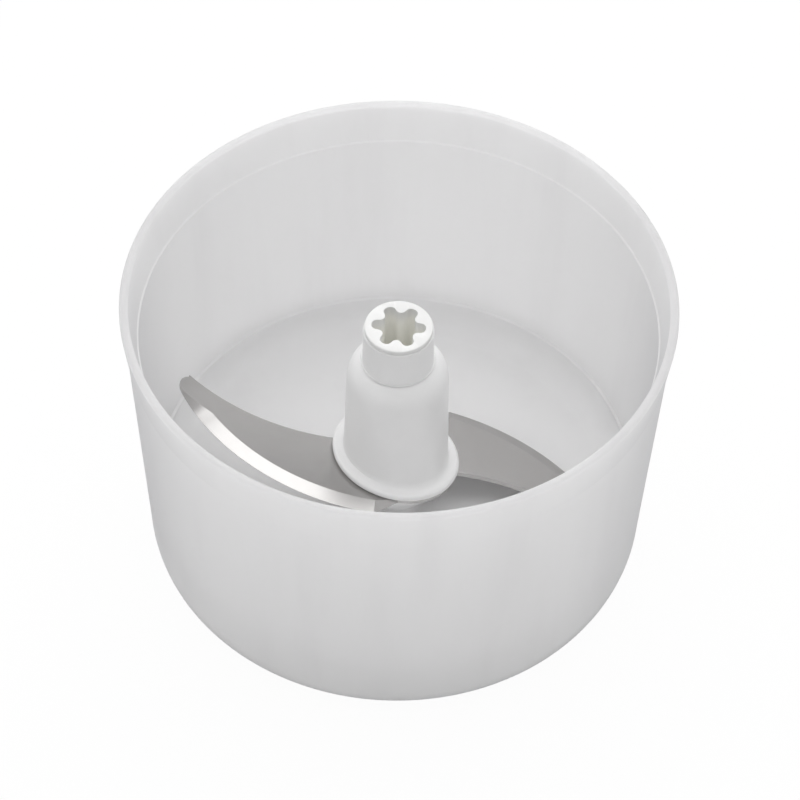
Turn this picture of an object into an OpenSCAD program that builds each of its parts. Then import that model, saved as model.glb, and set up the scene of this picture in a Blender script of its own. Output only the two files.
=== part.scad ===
// Chopper bowl with a lift-out S-knife: the working end of a small food processor.
// +Z is up and the origin is the centre of the ring that the bowl stands on.

/* [Bowl] */
// Outer radius of the rim
rim_r = 65; // [60:1:80]
// Height of the rim above the table
rim_z = 80; // [76:1:110]
// Depth of the flared collar below the rim
collar_h = 11; // [8:1:14]
// How much wider the collar is at the rim than at its foot
collar_flare = 1.6; // [1:0.1:3]
// Draft of the wall over its height
wall_draft = 3.9; // [2:0.1:6]
// Wall thickness
wall = 2.2; // [1.6:0.1:3]
// Height of the floor inside the bowl
floor_z = 10; // [9:0.5:12]
// Width of the crest where the wall steps in above the floor
crest = 0.6; // [0.3:0.1:1]

/* [Spindle] */
// Radius of the steel spindle
pin_r = 3; // [2.5:0.1:4]
// Height of the spindle's tip
pin_top = 49; // [44:1:52]
// Radius of the boss on the floor
boss_r = 7; // [6:0.5:9]

/* [Knife] */
// Tilt of the blade out of level, in degrees
tilt = 12.6; // [5:0.1:14]
// Compass angle that the blade tilts down towards
tilt_az = 27; // [0:1:359]
// Height of the blade's underside on the axis
blade_z = 22.4; // [21:0.1:25]
// Thickness of the blade
blade_t = 1.2; // [0.8:0.1:1.6]
// Radius that the blade tips sweep
sweep_r = 55; // [50:0.1:55.5]
// Width of the ground bevel
bevel_w = 3.3; // [2:0.1:4]

/* [Hub] */
// Radius of the hub above the flange
hub_r = 12.6; // [11.5:0.1:13]
// Radius of the flange over the blade
flange_r = 15.7; // [14:0.1:17]
// Radius of the neck
neck_r = 8.4; // [8.1:0.1:9]
// Height of the neck's foot
neck_z = 59; // [57:0.5:62]
// Height of the socket's face
hub_top = 70.8; // [68:0.1:74]
// Reach of the socket's six slots
slot_r = 6.4; // [5.8:0.1:6.6]

/* [Hidden] */
$fn = 96;

// running and press clearances
running = 0.05;
loose = 0.3;

// bowl
edge_r = 0.5;
foot_r = rim_r - 11;
foot_h = 9.6;
wall_top_r = rim_r - collar_flare;
wall_low_r = wall_top_r - wall_draft;
collar_in_r = wall_top_r - wall - 0.25;
inner_low_r = wall_low_r - wall + 0.35;
corner_r = 6;
crest_z = floor_z + corner_r;
floor_t = 2.3;
boss_top = floor_z + 2;
pin_foot = 2.5;

// knife
washer_t = 1;
carrier_z = boss_top + washer_t;
carrier_r = 12.2;
carrier_low_r = 9;
tube_r = 6;
tube_top = 33;
lower_bush_r = 4.6;
lower_bush_h = 12;
upper_bush_r = 5.4;
upper_bush_z = 37;
upper_bush_top = 50;
flange_t = 2;
shoulder_h = 7;
head_t = 1.2;
socket_r = neck_r - 1.3;
socket_foot = 52;
socket_floor = 55;
slot_w = 3;
tooth_r = 4.2;
bore_r = 3.6;
dowel_r = 1.25;
dowel_at = 9.4;
dowel_l = 7;

// blade outline: a leading arc, a hollow back arc and the circle the tips sweep
lead_c = [-4.8, 33.6];
lead_r = 53.3;
back_c = [-17, 52.7];
back_r = 50.2;
root_r = 15;
root_cut = 37;

function bend(c, rx, ry, a0, a1, n) =
    [for (i = [0:n]) let(a = a0 + (a1 - a0) * i / n) c + [rx * cos(a), ry * sin(a)]];

module turn(outline) {
    rotate_extrude() polygon(outline);
}

module ring(r, hole, z, h) {
    translate([0, 0, z]) difference() {
        cylinder(r = r, h = h);
        translate([0, 0, -1]) cylinder(r = hole, h = h + 2);
    }
}

// places the blade's own frame: its underside is the plane z = 0
module tilted() {
    translate([0, 0, blade_z]) rotate(a = tilt, v = [-sin(tilt_az), cos(tilt_az), 0]) children();
}

// everything on the hub's side of the blade's top face
module above_blade() {
    tilted() translate([0, 0, blade_t]) cylinder(r = 40, h = 80);
}

module bowl_outer() {
    turn(concat(
        [[0, 0]],
        bend([foot_r, foot_h], wall_low_r - foot_r, foot_h, -90, 0, 10),
        [[wall_top_r, rim_z - collar_h], [rim_r, rim_z - edge_r - 0.6]],
        bend([rim_r - edge_r, rim_z - edge_r], edge_r, edge_r, 0, 90, 4),
        [[0, rim_z]]));
}

module bowl_inner() {
    rim_in_r = rim_r - wall + 0.1;
    turn(concat(
        [[0, floor_z]],
        bend([inner_low_r - crest - corner_r, crest_z], corner_r, corner_r, -90, 0, 10),
        [[inner_low_r, crest_z + crest],
         [collar_in_r - 0.3, rim_z - collar_h + 0.6],
         [collar_in_r, rim_z - collar_h + 1],
         [rim_in_r, rim_z - edge_r],
         [rim_in_r + edge_r, rim_z],
         [rim_in_r + edge_r, rim_z + 1],
         [0, rim_z + 1]]));
}

module foot_recess() {
    under = floor_z - floor_t;
    turn(concat(
        [[0, -1], [foot_r - 1.4, -1]],
        bend([foot_r - 1.4, foot_h - 1.4], wall_low_r - foot_r - 1, foot_h - 1.4, -90, -12, 8),
        [[wall_low_r - wall - 0.4, under], [0, under]]));
}

module bowl() {
    color([0.86, 0.86, 0.88, 0.7]) difference() {
        union() {
            difference() {
                bowl_outer();
                bowl_inner();
                foot_recess();
            }
            turn([[0, 1], [boss_r - 1.4, 1], [boss_r, 3], [boss_r, boss_top - 0.6],
                  [boss_r - 0.6, boss_top], [0, boss_top]]);
        }
        translate([0, 0, pin_foot]) cylinder(r = pin_r, h = rim_z);
    }
}

module spindle() {
    nose = 1.2;
    color("silver") turn([[0, pin_foot], [pin_r, pin_foot], [pin_r, pin_top - nose],
        [pin_r - 0.4, pin_top - 0.4], [pin_r - nose, pin_top], [0, pin_top]]);
}

module thrust_washer() {
    color("ivory") ring(boss_r - 0.5, pin_r + running, boss_top, washer_t);
}

module hub_outline() {
    body_top = neck_z - shoulder_h;
    turn(concat(
        [[0, blade_z - 8], [hub_r, blade_z - 8], [hub_r, blade_z + 4], [hub_r - 0.5, body_top]],
        bend([neck_r - 0.6, body_top], hub_r - neck_r + 0.1, shoulder_h, 0, 81, 12),
        [[neck_r, hub_top - head_t - 0.2], [neck_r - 0.2, hub_top - head_t], [0, hub_top - head_t]]));
}

module hub_flange() {
    fillet = 1.6;
    brim = flange_t / 2;
    tilted() translate([0, 0, blade_t]) turn(concat(
        [[0, 0], [flange_r - brim, 0]],
        bend([flange_r - brim, brim], brim, brim, -90, 90, 8),
        bend([hub_r + fillet, flange_t + fillet], fillet, fillet, -90, -180, 5),
        [[0, flange_t + fillet]]));
}

module hub_shell() {
    color("white") difference() {
        intersection() {
            union() {
                hub_outline();
                hub_flange();
            }
            above_blade();
        }
        cylinder(r = tube_r + loose, h = tube_top + 1);
        cylinder(r = bore_r, h = socket_foot);
        translate([0, 0, upper_bush_z]) cylinder(r = upper_bush_r, h = socket_foot - upper_bush_z);
        translate([0, 0, socket_foot]) cylinder(r = socket_r, h = hub_top);
        dowel_pair(dowel_r);
    }
}

module slot_star() {
    cylinder(r = tooth_r, h = hub_top);
    for (i = [0:5]) rotate(60 * i - 5) {
        translate([slot_r - slot_w / 2, 0, 0]) cylinder(r = slot_w / 2, h = hub_top, $fn = 32);
        translate([0, -slot_w / 2, 0]) cube([slot_r - slot_w / 2, slot_w, hub_top]);
    }
}

module drive_socket() {
    head_r = neck_r - 0.35;
    color("ivory") difference() {
        turn([[0, socket_foot], [socket_r, socket_foot], [socket_r, hub_top - head_t],
              [head_r, hub_top - head_t], [head_r, hub_top - 0.4], [head_r - 0.4, hub_top], [0, hub_top]]);
        translate([0, 0, socket_floor]) slot_star();
    }
}

// one arm of the blade in plan
module arm_plan() {
    difference() {
        intersection() {
            translate(lead_c) circle(r = lead_r, $fn = 192);
            circle(r = sweep_r, $fn = 192);
            translate([-sweep_r, -lead_r]) square([sweep_r, 2 * lead_r]);
        }
        translate(back_c) circle(r = back_r, $fn = 192);
        translate([-sweep_r, back_c[1] - back_r + 14]) square([sweep_r, sweep_r]);
        translate([0, -root_r]) rotate(root_cut) translate([-sweep_r, -sweep_r])
            square([2 * sweep_r, sweep_r]);
    }
}

// the ground cone that leaves the top edge of an arm set in by the bevel
module bevel_cone() {
    translate([lead_c[0], lead_c[1], -0.2])
        cylinder(r1 = lead_r + bevel_w * 0.2 / blade_t, r2 = lead_r - bevel_w * 1.05,
                 h = 0.2 + 1.05 * blade_t, $fn = 192);
}

module arm() {
    intersection() {
        linear_extrude(blade_t) arm_plan();
        bevel_cone();
    }
}

module blade() {
    color("silver") tilted() difference() {
        union() {
            arm();
            rotate(180) arm();
            cylinder(r = root_r, h = blade_t);
        }
        translate([0, 0, -1]) cylinder(r = tube_r + 0.4, h = blade_t + 2);
        for (s = [-1, 1]) translate([0, s * dowel_at, -1]) cylinder(r = dowel_r, h = blade_t + 2);
    }
}

// two dowels square to the blade, through it and into the plastic on both sides
module dowel_pair(r) {
    tilted() for (s = [-1, 1])
        translate([0, s * dowel_at, (blade_t - dowel_l) / 2]) cylinder(r = r, h = dowel_l, $fn = 32);
}

module blade_dowels() {
    color("gray") dowel_pair(dowel_r);
}

module blade_carrier() {
    color("white") difference() {
        union() {
            difference() {
                turn([[0, carrier_z], [carrier_low_r - 0.8, carrier_z], [carrier_low_r, carrier_z + 0.8],
                      [carrier_r, blade_z - 3], [carrier_r, blade_z + 8], [0, blade_z + 8]]);
                tilted() cylinder(r = 40, h = 40);
            }
            translate([0, 0, carrier_z]) cylinder(r = tube_r, h = tube_top - carrier_z);
        }
        cylinder(r = lower_bush_r, h = carrier_z + lower_bush_h);
        cylinder(r = bore_r, h = tube_top + 1);
        dowel_pair(dowel_r);
    }
}

module lower_bush() {
    color("tan") ring(lower_bush_r, pin_r + running, carrier_z, lower_bush_h);
}

module upper_bush() {
    color("tan") ring(upper_bush_r, pin_r + running, upper_bush_z, upper_bush_top - upper_bush_z);
}

bowl();
spindle();
thrust_washer();
hub_shell();
drive_socket();
blade();
blade_carrier();
lower_bush();
upper_bush();
blade_dowels();
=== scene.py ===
# %% [markdown]
# # A frosted chopper bowl and its knife
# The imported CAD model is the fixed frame: every piece made here takes its place and size from it.
# All work is in metres, with +Z up, and the origin is the centre of the ring that the bowl stands on.

# %% Load the frame
import bpy
import bmesh
from math import atan2, cos, pi, radians, sin, tan
from mathutils import Matrix, Vector


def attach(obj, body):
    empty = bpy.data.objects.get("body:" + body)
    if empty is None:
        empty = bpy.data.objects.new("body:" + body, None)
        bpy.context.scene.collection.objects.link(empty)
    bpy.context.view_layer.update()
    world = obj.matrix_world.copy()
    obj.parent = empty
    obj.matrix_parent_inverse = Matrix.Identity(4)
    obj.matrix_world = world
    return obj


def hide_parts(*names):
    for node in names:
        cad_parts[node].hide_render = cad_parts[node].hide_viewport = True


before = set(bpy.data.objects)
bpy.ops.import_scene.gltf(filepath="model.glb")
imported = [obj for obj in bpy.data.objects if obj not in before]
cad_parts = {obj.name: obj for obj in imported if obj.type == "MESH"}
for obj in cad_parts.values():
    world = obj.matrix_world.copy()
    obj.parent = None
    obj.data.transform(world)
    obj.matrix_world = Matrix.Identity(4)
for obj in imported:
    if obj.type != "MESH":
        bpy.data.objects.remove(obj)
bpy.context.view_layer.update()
MM = 0.001
print("CAD nodes:", sorted(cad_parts))

# %% [markdown]
# ## The camera
# The bowl is seen from well above through a long lens, so its ellipses hardly narrow towards the back.
# The camera is a point on a line through the middle of the bowl. It is rolled by a degree or so, as a
# hand-levelled tripod often is.

# %% Place the camera
CAMERA_UP = radians(49.68)      # the line of sight, above level
CAMERA_AWAY = 1.0
CAMERA_ROLL = radians(1.39)
LENS = 189.4                    # for the 36 mm sensor
AIM = Vector((0.0007, 0.0, 0.0443))


def place_camera():
    away = Vector((0, -cos(CAMERA_UP), sin(CAMERA_UP)))
    side = Vector((1, 0, 0))
    up = away.cross(side)
    right = cos(CAMERA_ROLL) * side + sin(CAMERA_ROLL) * up
    top = away.cross(right)
    camera = bpy.data.objects.new("camera", bpy.data.cameras.new("camera"))
    camera.data.lens = LENS
    camera.data.clip_start = 0.05
    turn = Matrix((right, top, away)).transposed().to_4x4()
    camera.matrix_world = Matrix.Translation(AIM + CAMERA_AWAY * away) @ turn
    bpy.context.scene.collection.objects.link(camera)
    bpy.context.scene.camera = camera
    return camera


camera = place_camera()
print("camera at", [round(c, 3) for c in camera.location])

# %% [markdown]
# ## Outlines with rounded corners
# Moulded parts have no sharp corners: the mould's edges are all radiused. So an outline is written as its
# corners, each with the radius that rounds it, and one helper puts an arc at each corner. The same helper
# serves the bowl's section, the hub's section and the socket's star of slots.

# %% A helper that rounds the corners of an outline
def rounded(corners, steps=6):
    """corners: (x, y, radius) in millimetres. Returns the outline's points, with an arc at each corner."""
    points = []
    for i, (x, y, r) in enumerate(corners):
        here = Vector((x, y))
        if r <= 0 or i in (0, len(corners) - 1):
            points.append(here)
            continue
        before = (Vector(corners[i - 1][:2]) - here).normalized()
        after = (Vector(corners[i + 1][:2]) - here).normalized()
        half = before.angle(after) / 2
        middle = here + (before + after).normalized() * (r / sin(half))
        start = here + before * (r / tan(half)) - middle
        sweep = pi - 2 * half
        if start.x * before.y - start.y * before.x < 0:
            sweep = -sweep
        for k in range(steps + 1):
            a = -sweep * k / steps
            turned = (start.x * cos(a) - start.y * sin(a), start.x * sin(a) + start.y * cos(a))
            points.append(middle + Vector(turned))
    return points


def finish_piece(name, bm, smooth_angle=35):
    """Closes the bmesh into an object whose faces point outwards, smooth except over its crisp edges."""
    bmesh.ops.remove_doubles(bm, verts=bm.verts, dist=1e-6)
    bmesh.ops.recalc_face_normals(bm, faces=bm.faces)
    for edge in bm.edges:
        edge.smooth = edge.calc_face_angle(pi) < radians(smooth_angle)
    for face in bm.faces:
        face.smooth = True
    holes = sum(1 for edge in bm.edges if not edge.is_manifold)
    mesh = bpy.data.meshes.new(name)
    bm.to_mesh(mesh)
    bm.free()
    piece = bpy.data.objects.new(name, mesh)
    bpy.context.scene.collection.objects.link(piece)
    print(f"{name}: {len(mesh.polygons)} faces, {holes} open edges")
    return piece


def spun(outline, steps):
    """Turns an outline of (radius, height) millimetres once round the Z axis."""
    bm = bmesh.new()
    row = [bm.verts.new((p.x * MM, 0, p.y * MM)) for p in outline]
    edges = [bm.edges.new(pair) for pair in zip(row[:-1], row[1:])]
    bmesh.ops.spin(bm, geom=row + edges, cent=(0, 0, 0), axis=(0, 0, 1), angle=2 * pi, steps=steps,
                   use_merge=True)
    bmesh.ops.remove_doubles(bm, verts=bm.verts, dist=1e-6)
    return bm


def arc(centre, rx, ry, start, end, steps):
    """Points of an ellipse's arc between two angles in degrees."""
    angles = [radians(start + (end - start) * k / steps) for k in range(steps + 1)]
    return [Vector((centre[0] + rx * cos(a), centre[1] + ry * sin(a))) for a in angles]


# %% [markdown]
# ## The bowl
# The bowl is one injection moulding in milky polypropylene. Its section is drawn once and spun round the
# axis, as the mould was turned on a lathe. The collar flares above a soft kink, where a lid sits. The wall
# has draft so that it leaves the mould. Above the floor it steps in by half a millimetre, and that
# crest catches the light as a thin ring. Under the floor the wall runs on as a foot.

# %% Sizes of the bowl, in millimetres
RIM_R = 64.92
RIM_Z = 80.0
COLLAR_H = 11.0
WALL_TOP_R = 63.4
WALL_LOW_R = 59.5
INNER_TOP_R = 60.95
INNER_LOW_R = 57.65
FLOOR_Z = 10.0
CORNER_R = 6.0
CREST = 0.6
FOOT_R = 54.0
FOOT_H = 9.6
BOSS_R = 7.0
BOSS_TOP = 12.0
PIN_HOLE_R = 3.04
PIN_FOOT = 2.5
BOWL_STEPS = 240


# %% Draw the bowl's section and spin it
def bowl_section():
    corner_foot = INNER_LOW_R - CREST - CORNER_R
    inside = rounded([
        (0, PIN_FOOT, 0), (PIN_HOLE_R, PIN_FOOT, 0), (PIN_HOLE_R, BOSS_TOP, 0.25), (BOSS_R, BOSS_TOP, 0.5),
        (BOSS_R, FLOOR_Z, 1.2), (corner_foot, FLOOR_Z, 0)])
    inside += arc((corner_foot, FLOOR_Z + CORNER_R), CORNER_R, CORNER_R, -90, 0, 12)[1:]
    wall = rounded([
        (INNER_LOW_R - CREST, FLOOR_Z + CORNER_R, 0), (INNER_LOW_R - CREST, FLOOR_Z + CORNER_R + 0.3, 0.25),
        (INNER_LOW_R, FLOOR_Z + CORNER_R + 0.8, 0.25), (INNER_TOP_R - 0.35, RIM_Z - COLLAR_H + 0.5, 0.25),
        (INNER_TOP_R, RIM_Z - COLLAR_H + 0.9, 0.3), (RIM_R - 2.15, RIM_Z, 0.8), (RIM_R, RIM_Z, 0.9),
        (WALL_TOP_R, RIM_Z - COLLAR_H, 3.0), (WALL_LOW_R, FOOT_H, 0)])
    foot = arc((FOOT_R, FOOT_H), WALL_LOW_R - FOOT_R, FOOT_H, 0, -90, 14)[1:]
    under = rounded([
        (FOOT_R, 0, 0), (FOOT_R - 1.6, 0, 0.6), (WALL_LOW_R - 3.1, 4.0, 3.0), (WALL_LOW_R - 2.6, 7.7, 1.0),
        (BOSS_R, 7.7, 1.0), (BOSS_R - 0.6, 1.0, 0.6), (0, 1.0, 0)])
    return inside + wall[1:] + foot + under[1:]


bowl = finish_piece("bowl_moulding", spun(bowl_section(), BOWL_STEPS), 25)
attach(bowl, "bowl")
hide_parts("bowl")

# %% [markdown]
# ## The hub
# The hub is a stiff white moulding. From the top it is a neck, a domed shoulder, a slightly drafted body and
# a round flange that presses on the blade. It is spun straight up first. Then the flange is tilted to lie
# on the sloping blade: points near it are moved down by the slope of the blade's plane, and the move fades
# out up the body, which keeps the body round.

# %% Sizes of the hub, and the slope of the blade
BLADE_Z = 22.4
BLADE_T = 1.2
TILT = radians(12.6)
TILT_TOWARDS = radians(27)
SLOPE = Vector((tan(TILT) * cos(TILT_TOWARDS), tan(TILT) * sin(TILT_TOWARDS)))
HUB_R = 12.6
NECK_R = 8.4
NECK_Z = 59.0
SHOULDER_H = 7.0
NECK_TOP = 69.6
FLANGE_R = 15.6
FLANGE_T = 2.0
FLANGE_Z = BLADE_Z + BLADE_T / cos(TILT)
HUB_STEPS = 128
TUBE_R = 6.35                   # the carrier's tube stands in this bore
TUBE_TOP = 34
PIN_BORE = 3.65
BUSH_BORE = 5.5
BUSH_LOW = 37
SOCKET_BORE = 7.2
SOCKET_LOW = 52
SHEAR_CUTS = (32, 34.6, 38, 44)  # extra rings of points, so that the sheared body bends smoothly


# %% Spin the hub and tilt its flange
def hub_section():
    body_top = NECK_Z - SHOULDER_H
    shoulder = arc((NECK_R - 0.6, body_top), HUB_R - NECK_R + 0.1, SHOULDER_H, 0, 80, 14)
    low = rounded([
        (TUBE_R, FLANGE_Z, 0), (FLANGE_R, FLANGE_Z, 0.7), (FLANGE_R, FLANGE_Z + FLANGE_T, 0.95),
        (HUB_R, FLANGE_Z + FLANGE_T + 0.15, 1.7), (shoulder[0].x, shoulder[0].y, 0)])
    high = rounded([
        (shoulder[-1].x, shoulder[-1].y, 0), (NECK_R, NECK_Z - 0.35, 0.25), (NECK_R - 0.08, NECK_TOP, 0.3),
        (SOCKET_BORE, NECK_TOP, 0), (SOCKET_BORE, SOCKET_LOW, 0), (BUSH_BORE, SOCKET_LOW, 0),
        (BUSH_BORE, BUSH_LOW, 0), (PIN_BORE, BUSH_LOW, 0), (PIN_BORE, TUBE_TOP, 0), (TUBE_R, TUBE_TOP, 0),
        (TUBE_R, FLANGE_Z, 0)], 4)
    return low + shoulder[1:] + high[1:]


def tilt_flange(bm):
    """Shears what is near the flange into the blade's plane, and shortens the flange along the slope."""
    fade_from, fade_to = (FLANGE_Z + 6) * MM, (FLANGE_Z + 12.5) * MM
    for vert in bm.verts:
        fade = min(max((fade_to - vert.co.z) / (fade_to - fade_from), 0), 1)
        fade = fade * fade * (3 - 2 * fade)
        plan = Vector(vert.co.xy)
        if plan.length > (HUB_R + 0.4) * MM:
            downhill = SLOPE.normalized()
            plan -= downhill * plan.dot(downhill) * (1 - cos(TILT))
            vert.co.x, vert.co.y = plan
        vert.co.z -= fade * SLOPE.dot(plan)


hub_bm = spun(hub_section(), HUB_STEPS)
for height in SHEAR_CUTS:
    bmesh.ops.bisect_plane(hub_bm, geom=hub_bm.verts[:] + hub_bm.edges[:] + hub_bm.faces[:],
                           plane_co=(0, 0, height * MM), plane_no=(0, 0, 1))
tilt_flange(hub_bm)
hub = finish_piece("hub_moulding", hub_bm)
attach(hub, "knife")
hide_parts("hub_shell")

# %% [markdown]
# ## The drive socket
# The motor's splined shaft drops into a socket in the neck: six round-ended slots between six blunt teeth.
# It is a separate insert in a harder, slippery plastic. Its body is spun, the slots are cut from it as one
# star-shaped prism, and a small bevel breaks every edge of the mouth, as on the real moulding.

# %% Sizes of the socket
SOCKET_TOP = 70.8
HEAD_R = 8.05
BODY_R = 7.15
SLOT_REACH = 6.4
SLOT_HALF = 1.5
SLOT_ROUND = 1.35
TOOTH_ROUND = 1.25
SLOT_FLOOR = 55.0
SLOT_TURN = radians(-5)


# %% Cut the slots with a star-shaped prism
def star_plan():
    """One slot's end and the tooth after it, six times round."""
    corners = []
    for k in range(6):
        turn = Matrix.Rotation(SLOT_TURN + k * pi / 3, 2)
        for x, y, r in ((SLOT_REACH, -SLOT_HALF, SLOT_ROUND), (SLOT_REACH, SLOT_HALF, SLOT_ROUND)):
            corners.append((*(turn @ Vector((x, y))), r))
        tooth = Matrix.Rotation(SLOT_TURN + (k + 0.5) * pi / 3, 2) @ Vector((2 * SLOT_HALF, 0))
        corners.append((*tooth, TOOTH_ROUND))
    ring = rounded([corners[-1]] + corners + [corners[0]], 5)
    return ring[1:-1]


def prism(plan, low, high):
    bm = bmesh.new()
    base = bm.faces.new([bm.verts.new((p.x * MM, p.y * MM, low * MM)) for p in plan])
    grown = bmesh.ops.extrude_face_region(bm, geom=[base])["geom"]
    top = [g for g in grown if isinstance(g, bmesh.types.BMVert)]
    bmesh.ops.translate(bm, verts=top, vec=(0, 0, (high - low) * MM))
    return bm


def with_modifiers(piece):
    """Bakes a piece's modifiers into its mesh."""
    graph = bpy.context.evaluated_depsgraph_get()
    mesh = bpy.data.meshes.new_from_object(piece.evaluated_get(graph))
    piece.modifiers.clear()
    piece.data = mesh
    return piece


def make_socket():
    section = rounded([
        (0, SOCKET_LOW, 0), (BODY_R, SOCKET_LOW, 0), (BODY_R, NECK_TOP + 0.05, 0),
        (HEAD_R, NECK_TOP + 0.05, 0.12), (HEAD_R, SOCKET_TOP, 0.35), (0, SOCKET_TOP, 0)], 4)
    socket = finish_piece("socket_insert", spun(section, HUB_STEPS))
    cutter = finish_piece("slot_cutter", prism(star_plan(), SLOT_FLOOR, SOCKET_TOP + 2))
    cut = socket.modifiers.new("slots", "BOOLEAN")
    cut.operation, cut.solver, cut.object = "DIFFERENCE", "EXACT", cutter
    edge = socket.modifiers.new("edges", "BEVEL")
    edge.width, edge.segments, edge.limit_method, edge.angle_limit = 0.22 * MM, 3, "ANGLE", radians(50)
    with_modifiers(socket)
    bpy.data.objects.remove(cutter)
    return socket


socket = make_socket()
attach(socket, "knife")
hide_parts("drive_socket")

# %% [markdown]
# ## The blade
# One flat plate makes both arms. Each arm has a leading edge that bulges outwards, so that it slices as it
# sweeps, and a hollow back. The plan is drawn flat from three arcs and turned half round for the
# second arm. The grinding wheel takes a bevel off the top of the leading edge, so the top outline is pulled
# in along it. Last, the plate is tilted into its plane.

# %% Sizes of the blade
LEAD_C = Vector((-4.8, 33.6))
LEAD_R = 53.3
BACK_C = Vector((-17.0, 52.7))
BACK_R = 50.2
ROOT_R = 15.0
BEVEL_W = 3.3
LAND = 0.12
HOLE_R = 6.4
ARC_STEPS = 44
BEVEL_RUN_IN = 7                # steps from the tip over which the bevel widens


# %% Draw the blade's plan
def circle_point(centre, radius, angle):
    return centre + radius * Vector((cos(angle), sin(angle)))


def arm_plan():
    """The left arm: leading edge from tip to root, the hub's edge, then the other arm's back to its tip."""
    lead_tip, lead_root = radians(205.5), radians(269.6)
    lead = [circle_point(LEAD_C, LEAD_R, lead_tip + (lead_root - lead_tip) * k / ARC_STEPS)
            for k in range(ARC_STEPS + 1)]
    root = [circle_point(Vector((0, 0)), ROOT_R, radians(a)) for a in range(-88, -9, 6)]
    back_root, back_tip = radians(270.8), radians(226.6)
    back = [-circle_point(BACK_C, BACK_R, back_root + (back_tip - back_root) * k / ARC_STEPS)
            for k in range(ARC_STEPS + 1)]
    return lead, root, back


# %% Extrude the plate, grind its bevel and tilt it
TIP = [(-53.55, 12.2), (-53.7, 13.5), (-53.3, 14.6), (-52.5, 15.35), (-51.7, 15.6)]


def blade_outline():
    """One arm's edge and the next arm's back, and the same turned half round.

    Also says how far each point is ground, from 0 to 1."""
    lead, root, back = arm_plan()
    tip = [Vector(p) for p in TIP]
    half = tip[::-1] + lead + root + back
    lead_share = [min(1.0, k / BEVEL_RUN_IN) for k in range(len(lead))]
    ground = [0.0] * len(TIP) + lead_share + [0.0] * (len(root) + len(back))
    return half + [-p for p in half], ground * 2


def make_blade():
    outline, ground = blade_outline()
    half = len(outline) // 2
    bm = bmesh.new()
    lift = bm.verts.layers.int.new("outline_point")
    plan = [bm.verts.new((p.x * MM, p.y * MM, 0)) for p in outline]
    edges = [bm.edges.new(pair) for pair in zip(plan, plan[1:] + plan[:1])]
    hole = bmesh.ops.create_circle(bm, segments=64, radius=HOLE_R * MM)["verts"]
    edges += list({edge for vert in hole for edge in vert.link_edges})
    filled = bmesh.ops.triangle_fill(bm, edges=edges, use_beauty=True)["geom"]
    faces = [g for g in filled if isinstance(g, bmesh.types.BMFace)]
    for i, vert in enumerate(plan):
        vert[lift] = i + 1
    for height, pull in ((LAND, 0), (BLADE_T - LAND, BEVEL_W)):
        grown = bmesh.ops.extrude_face_region(bm, geom=faces)["geom"]
        verts = [g for g in grown if isinstance(g, bmesh.types.BMVert)]
        faces = [g for g in grown if isinstance(g, bmesh.types.BMFace)]
        bmesh.ops.translate(bm, verts=verts, vec=(0, 0, height * MM))
        for vert in verts:
            i = vert[lift] - 1
            if pull and i >= 0 and ground[i]:
                centre = LEAD_C if i < half else -LEAD_C
                inward = (centre * MM - Vector(vert.co.xy)).normalized() * pull * ground[i] * MM
                vert.co.x += inward.x
                vert.co.y += inward.y
    uv = bm.loops.layers.uv.new("along_edge")
    bm.normal_update()
    for face in bm.faces:
        face.material_index = 1 if 0.15 < face.normal.z < 0.98 else 0
        side = LEAD_C if face.calc_center_median().x < 0 else -LEAD_C
        for loop in face.loops:
            spoke = Vector(loop.vert.co.xy) - side * MM
            loop[uv].uv = (atan2(spoke.y, spoke.x) % (2 * pi) * LEAD_R * MM * 20, spoke.length * 20)
    turn = Matrix.Rotation(TILT, 4, Vector((-sin(TILT_TOWARDS), cos(TILT_TOWARDS), 0)))
    bmesh.ops.transform(bm, matrix=Matrix.Translation((0, 0, BLADE_Z * MM)) @ turn, verts=bm.verts)
    return finish_piece("blade_plate", bm, 15)


blade = make_blade()
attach(blade, "knife")
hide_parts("blade")

# %% [markdown]
# ## Shared surface effects
# Moulded plastic is never one flat colour: the mould's eroded skin gives it a fine grain and the melt's flow
# leaves cloudy patches. Convex edges are painted paler as a painted highlight. Metal shows the direction it
# was ground or rolled in.
# Each effect is a node group that puts out a mask or a height, used by several materials with other values.

# %% Helpers for node trees
def new_group(name, inputs, outputs):
    """inputs: {name: default}. outputs: names. All are numbers, apart from Vector."""
    group = bpy.data.node_groups.new(name, "ShaderNodeTree")
    for socket, value in inputs.items():
        kind = "NodeSocketVector" if socket == "Vector" else "NodeSocketFloat"
        made = group.interface.new_socket(socket, in_out="INPUT", socket_type=kind)
        if kind == "NodeSocketFloat":
            made.default_value = value
    for socket in outputs:
        group.interface.new_socket(socket, in_out="OUTPUT", socket_type="NodeSocketFloat")
    start = group.nodes.new("NodeGroupInput")
    end = group.nodes.new("NodeGroupOutput")
    return group, start, end


def add(tree, kind, **values):
    """Adds a node. Values name its properties, or its input sockets where it has no such property."""
    node = tree.nodes.new("ShaderNode" + kind)
    for key, value in values.items():
        if hasattr(node, key):
            setattr(node, key, value)
        else:
            node.inputs[key.replace("_", " ")].default_value = value
    return node


def math(tree, operation, a, b=None):
    node = add(tree, "Math", operation=operation)
    for socket, value in zip(node.inputs, (a, b)):
        if isinstance(value, (int, float)):
            socket.default_value = value
        elif value is not None:
            tree.links.new(value, socket)
    return node.outputs[0]


def noise(tree, vector, scale, detail=3.0, roughness=0.5):
    node = add(tree, "TexNoise", Scale=scale, Detail=detail, Roughness=roughness)
    tree.links.new(vector, node.inputs["Vector"])
    return node.outputs["Fac"]


def ramp(tree, value, low, high, out_low=0.0, out_high=1.0):
    node = add(tree, "MapRange", interpolation_type="SMOOTHSTEP")
    tree.links.new(value, node.inputs["Value"])
    for socket, number in zip(("From Min", "From Max", "To Min", "To Max"), (low, high, out_low, out_high)):
        node.inputs[socket].default_value = number
    return node.outputs["Result"]
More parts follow.
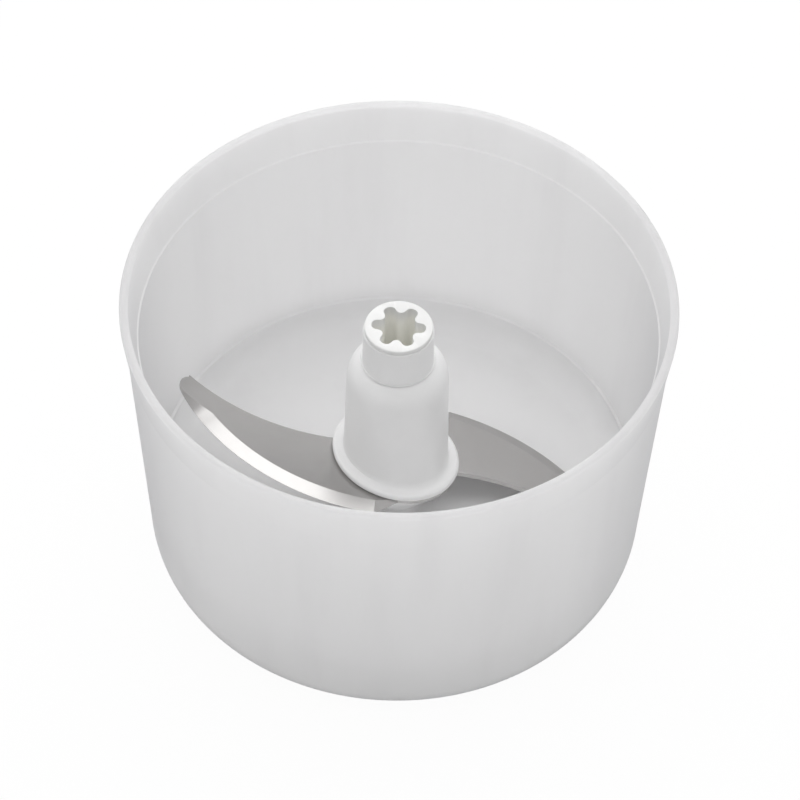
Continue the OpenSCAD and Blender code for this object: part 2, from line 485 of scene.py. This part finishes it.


# %% The moulded-plastic, painted edge highlight and brushed-metal groups
def moulded_group():
    inputs = {"Vector": None, "Grain scale": 2500.0, "Cloud scale": 30.0}
    group, start, end = new_group("moulded_skin", inputs, ["Grain", "Cloud"])
    grain = add(group, "TexNoise", Detail=2.0)
    cloud = add(group, "TexNoise", Detail=4.0, Roughness=0.6)
    for node, socket in ((grain, "Grain scale"), (cloud, "Cloud scale")):
        group.links.new(start.outputs["Vector"], node.inputs["Vector"])
        group.links.new(start.outputs[socket], node.inputs["Scale"])
    group.links.new(grain.outputs["Fac"], end.inputs["Grain"])
    group.links.new(ramp(group, cloud.outputs["Fac"], 0.3, 0.7), end.inputs["Cloud"])
    return group


def edge_group():
    group, start, end = new_group("painted_edge_highlight", {"Vector": None, "Amount": 1.0}, ["Edge"])
    point = add(group, "NewGeometry").outputs["Pointiness"]
    # Painted highlight: convex edges, found by pointiness, are painted paler, broken up by noise.
    edge_highlight_mask = ramp(group, point, 0.52, 0.62)
    broken = ramp(group, noise(group, start.outputs["Vector"], 400.0, 4.0), 0.35, 0.65, 0.4, 1.0)
    edge = math(group, "MULTIPLY", math(group, "MULTIPLY", edge_highlight_mask, broken), start.outputs["Amount"])
    group.links.new(edge, end.inputs["Edge"])
    return group


def brushed_group():
    inputs = {"Vector": None, "Fine": 900.0, "Broad": 60.0}
    group, start, end = new_group("brushed_metal", inputs, ["Lines", "Patches"])
    lines = add(group, "TexNoise", Detail=5.0, Roughness=0.65)
    patches = add(group, "TexNoise", Detail=2.0)
    for node, socket in ((lines, "Fine"), (patches, "Broad")):
        group.links.new(start.outputs["Vector"], node.inputs["Vector"])
        group.links.new(start.outputs[socket], node.inputs["Scale"])
    group.links.new(lines.outputs["Fac"], end.inputs["Lines"])
    group.links.new(ramp(group, patches.outputs["Fac"], 0.3, 0.7), end.inputs["Patches"])
    return group


MOULDED, EDGE_HIGHLIGHT, BRUSHED = moulded_group(), edge_group(), brushed_group()
print("shared groups:", [group.name for group in (MOULDED, EDGE_HIGHLIGHT, BRUSHED)])


def place_group(tree, group, vector, **values):
    node = tree.nodes.new("ShaderNodeGroup")
    node.node_tree = group
    tree.links.new(vector, node.inputs["Vector"])
    for key, value in values.items():
        node.inputs[key.replace("_", " ")].default_value = value
    return node


def new_material(name):
    material = bpy.data.materials.new(name)
    material.use_nodes = True
    tree = material.node_tree
    shader = tree.nodes["Principled BSDF"]
    where = add(tree, "TexCoord").outputs["Object"]
    return material, tree, shader, where


def mix_colour(tree, mask, low, high):
    node = add(tree, "Mix", data_type="RGBA")
    tree.links.new(mask, node.inputs["Factor"])
    for socket, colour in (("A", low), ("B", high)):
        target = [s for s in node.inputs if s.name == socket and s.type == "RGBA"][0]
        if isinstance(colour, tuple):
            target.default_value = (*colour, 1)
        else:
            tree.links.new(colour, target)
    return [s for s in node.outputs if s.type == "RGBA"][0]


def bump(tree, shader, height, distance, strength=1.0):
    node = add(tree, "Bump", Distance=distance, Strength=strength)
    tree.links.new(height, node.inputs["Height"])
    tree.links.new(node.outputs["Normal"], shader.inputs["Normal"])
    return node.outputs["Normal"]


# %% [markdown]
# ## Frosted polypropylene
# The bowl is milky rather than clear: light goes through it but no shape does. So the material blends a
# plain surface with a Translucent one, which passes the light from behind to the front. The skin is matt
# with a fine eroded grain. The thick floor passes less light than the wall, and the thin rim passes most.
# Faint darker streaks run down the wall. Where the wall is seen at a grazing angle, towards the silhouettes,
# shade is painted in: the colour turns greyer.

# %% The bowl's material
def frosted_plastic():
    material, tree, shader, where = new_material("frosted_plastic")
    skin = place_group(tree, MOULDED, where, Grain_scale=2200.0, Cloud_scale=26.0)
    edges = place_group(tree, EDGE_HIGHLIGHT, where, Amount=0.08)
    milk = mix_colour(tree, skin.outputs["Cloud"], (0.945, 0.943, 0.945), (0.955, 0.953, 0.955))
    # Painted highlight: the convex edges are painted a little paler.
    colour = mix_colour(tree, edges.outputs["Edge"], milk, (0.96, 0.96, 0.962))
    # Faint darker streaks, long and upright, over the whole wall.
    upright_stretch = add(tree, "Mapping")
    upright_stretch.inputs["Scale"].default_value = (1.0, 1.0, 0.08)
    tree.links.new(where, upright_stretch.inputs["Vector"])
    streaks = ramp(tree, noise(tree, upright_stretch.outputs[0], 110.0, 4.0), 0.45, 0.75, 0.0, 0.35)
    colour = mix_colour(tree, streaks, colour, (0.88, 0.875, 0.88))
    # Painted shade: where the wall is seen at a grazing angle, towards the silhouettes, the colour is
    # painted greyer.
    painted_silhouette_shade = ramp(tree, add(tree, "LayerWeight", Blend=0.5).outputs["Facing"], 0.55, 1.0, 0.0, 0.8)
    colour = mix_colour(tree, painted_silhouette_shade, colour, (0.70, 0.70, 0.71))
    tree.links.new(colour, shader.inputs["Base Color"])
    rough = ramp(tree, skin.outputs["Cloud"], 0, 1, 0.46, 0.56)
    tree.links.new(rough, shader.inputs["Roughness"])
    shader.inputs["IOR"].default_value = 1.49
    shader.inputs["Specular IOR Level"].default_value = 0.35
    normal = bump(tree, shader, skin.outputs["Grain"], 0.00004, 0.5)
    glow = add(tree, "BsdfTranslucent")
    tree.links.new(colour, glow.inputs["Color"])
    tree.links.new(normal, glow.inputs["Normal"])
    height = add(tree, "SeparateXYZ")
    tree.links.new(where, height.inputs[0])
    passed = ramp(tree, height.outputs["Z"], (FLOOR_Z + 1) * MM, (FLOOR_Z + 12) * MM, 0.2, 0.45)
    at_rim = ramp(tree, height.outputs["Z"], (RIM_Z - 1.2) * MM, (RIM_Z - 0.3) * MM, 0.0, 0.3)
    blend = add(tree, "MixShader")
    tree.links.new(math(tree, "ADD", passed, at_rim), blend.inputs["Fac"])
    tree.links.new(shader.outputs[0], blend.inputs[1])
    tree.links.new(glow.outputs[0], blend.inputs[2])
    tree.links.new(blend.outputs[0], tree.nodes["Material Output"].inputs["Surface"])
    return material


bowl.data.materials.append(frosted_plastic())
print("on the bowl:", bowl.data.materials[0].name)

# %% [markdown]
# ## White and natural plastics
# The hub is a white filled plastic with a satin skin. The socket insert, the bushes and the washer are
# natural acetal, which is creamier and waxier. Down in the socket the light gets warmer still.

# %% Materials of the solid plastics
def solid_plastic(name, low, high, rough, grain=0.4, coat=0.0):
    material, tree, shader, where = new_material(name)
    skin = place_group(tree, MOULDED, where, Grain_scale=3000.0, Cloud_scale=70.0)
    edges = place_group(tree, EDGE_HIGHLIGHT, where, Amount=0.5)
    body = mix_colour(tree, skin.outputs["Cloud"], low, high)
    # Painted highlight: the convex edges are painted paler.
    paler = tuple(min(1.0, c * 1.08) for c in high)
    colour = mix_colour(tree, edges.outputs["Edge"], body, paler)
    tree.links.new(colour, shader.inputs["Base Color"])
    uneven = ramp(tree, skin.outputs["Cloud"], 0, 1, rough - 0.04, rough + 0.05)
    tree.links.new(uneven, shader.inputs["Roughness"])
    shader.inputs["Coat Weight"].default_value = coat
    bump(tree, shader, skin.outputs["Grain"], 0.00003, grain)
    return material, tree, shader, where, colour


def cream_socket():
    """The acetal insert: white on its face, creamier with depth below it."""
    made = solid_plastic("socket_acetal", (0.78, 0.78, 0.775), (0.81, 0.81, 0.805), 0.42)
    material, tree, shader, where, colour = made
    height = add(tree, "SeparateXYZ")
    tree.links.new(where, height.inputs[0])
    depth = ramp(tree, height.outputs["Z"], (SOCKET_TOP - 0.3) * MM, (SOCKET_TOP - 5) * MM)
    warm = mix_colour(tree, depth, colour, (1.0, 0.995, 0.95))
    tree.links.new(warm, shader.inputs["Base Color"])
    return material


white_plastic = solid_plastic("white_plastic", (0.85, 0.85, 0.85), (0.87, 0.87, 0.868), 0.36)[0]
acetal = solid_plastic("natural_acetal", (0.80, 0.78, 0.70), (0.84, 0.82, 0.75), 0.33)[0]
bush_plastic = solid_plastic("bush_acetal", (0.66, 0.60, 0.47), (0.72, 0.66, 0.53), 0.38)[0]
hub.data.materials.append(white_plastic)
socket.data.materials.append(cream_socket())
print("on the hub and socket:", hub.data.materials[0].name, socket.data.materials[0].name)

# %% [markdown]
# ## Steel
# The blade is rolled stainless plate, satin along its arms. The bevel is ground by a wheel that runs across
# the edge, so it is brighter and its marks cross the bevel. Those marks follow the edge's arc, so they use
# the blade's own UV map, in which one direction runs along the edge.

# %% Materials of the steels
def steel(name, low, high, rough, stretch, vector_name="Object", fine=900.0, bump_depth=0.000006):
    material, tree, shader, where = new_material(name)
    source = add(tree, "TexCoord").outputs[vector_name]
    scaled = add(tree, "Mapping")
    scaled.inputs["Scale"].default_value = stretch
    tree.links.new(source, scaled.inputs["Vector"])
    marks = place_group(tree, BRUSHED, scaled.outputs[0], Fine=fine, Broad=fine / 12)
    edges = place_group(tree, EDGE_HIGHLIGHT, where, Amount=0.05)
    body = mix_colour(tree, marks.outputs["Lines"], low, high)
    # Painted highlight: the convex edges are painted a paler grey.
    colour = mix_colour(tree, edges.outputs["Edge"], body, (0.85, 0.85, 0.85))
    tree.links.new(colour, shader.inputs["Base Color"])
    shader.inputs["Metallic"].default_value = 1.0
    uneven = ramp(tree, marks.outputs["Patches"], 0, 1, rough - 0.006, rough + 0.008)
    tree.links.new(uneven, shader.inputs["Roughness"])
    bump(tree, shader, marks.outputs["Lines"], bump_depth, 0.6)
    return material


rolled_steel = steel("rolled_steel", (0.505, 0.495, 0.488), (0.515, 0.505, 0.498), 0.24, (0.05, 1.0, 1.0),
                     fine=2600.0, bump_depth=0.000001)
ground_steel = steel("ground_bevel", (0.115, 0.113, 0.111), (0.19, 0.188, 0.186), 0.44, (1.0, 0.03, 1.0),
                     "UV", 160.0)
turned_steel = steel("turned_steel", (0.60, 0.60, 0.60), (0.74, 0.74, 0.74), 0.22, (0.1, 0.1, 1.0))
blade.data.materials.append(rolled_steel)
blade.data.materials.append(ground_steel)
NODE_FINISHES = {"spindle": turned_steel, "blade_dowels": turned_steel, "thrust_washer": acetal,
                 "lower_bush": bush_plastic, "upper_bush": bush_plastic, "blade_carrier": white_plastic}
for node, finish in NODE_FINISHES.items():
    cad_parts[node].data.materials.clear()
    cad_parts[node].data.materials.append(finish)
print("finishes on CAD nodes:", sorted(NODE_FINISHES))

# %% [markdown]
# ## The studio
# A white sweep under large soft lights: a broad one overhead, one behind that shines through the back wall,
# and a weak one at the left. The one behind is kept out of reflections, or it would show as a white patch on
# the blade. The floor is lit like the object. It also glows for the camera and in reflections, so that the
# background reads as white paper while it keeps the bowl's soft shadow.

# %% Floor, lights and world
FLOOR_SIZE = 6.0
FLOOR_GLOW = 0.96
ROOM_LIGHT = 0.47


def make_floor():
    bm = bmesh.new()
    bmesh.ops.create_grid(bm, x_segments=4, y_segments=4, size=FLOOR_SIZE / 2)
    bmesh.ops.translate(bm, verts=bm.verts, vec=(0, 0, -0.0002))
    floor = finish_piece("floor", bm)
    material, tree, shader, where = new_material("white_sweep")
    shader.inputs["Base Color"].default_value = (0.90, 0.90, 0.90, 1)
    shader.inputs["Roughness"].default_value = 0.9
    shader.inputs["Specular IOR Level"].default_value = 0.1
    glow = add(tree, "Emission", Strength=1.0)
    path = add(tree, "LightPath")
    direct = math(tree, "MAXIMUM", path.outputs["Is Camera Ray"], path.outputs["Is Glossy Ray"])
    seen = math(tree, "MULTIPLY", direct, FLOOR_GLOW)
    blend = add(tree, "MixShader")
    tree.links.new(seen, blend.inputs["Fac"])
    tree.links.new(shader.outputs[0], blend.inputs[1])
    tree.links.new(glow.outputs[0], blend.inputs[2])
    tree.links.new(blend.outputs[0], tree.nodes["Material Output"].inputs["Surface"])
    floor.data.materials.append(material)
    return floor


def area_light(name, place, size, power):
    light = bpy.data.lights.new(name, "AREA")
    light.shape = "RECTANGLE"
    light.size, light.size_y = size
    light.energy = power
    lamp = bpy.data.objects.new(name, light)
    lamp.location = place
    lamp.rotation_euler = (AIM - Vector(place)).to_track_quat("-Z", "Y").to_euler()
    bpy.context.scene.collection.objects.link(lamp)
    return lamp


def light_world(strength):
    world = bpy.data.worlds.new("studio_air")
    world.use_nodes = True
    tree = world.node_tree
    plain = tree.nodes["Background"]
    plain.inputs["Color"].default_value = (1.0, 1.0, 1.0, 1)
    plain.inputs["Strength"].default_value = strength
    white = add(tree, "Background")
    white.inputs["Strength"].default_value = 1.0
    path = add(tree, "LightPath")
    blend = add(tree, "MixShader")
    tree.links.new(path.outputs["Is Camera Ray"], blend.inputs["Fac"])
    tree.links.new(plain.outputs[0], blend.inputs[1])
    tree.links.new(white.outputs[0], blend.inputs[2])
    tree.links.new(blend.outputs[0], tree.nodes["World Output"].inputs["Surface"])
    bpy.context.scene.world = world


make_floor()
light_world(ROOM_LIGHT)
area_light("overhead", (0.0, 0.3, 1.3), (1.7, 1.4), 11.5)
area_light("left", (-1.0, -0.4, 1.0), (0.8, 0.6), 0.3)
behind = area_light("behind", (0.0, 1.1, 0.5), (1.6, 0.8), 8.5)
behind.visible_glossy = False
bpy.context.scene.view_settings.view_transform = "Standard"
print("lights:", [light.name for light in bpy.data.lights])
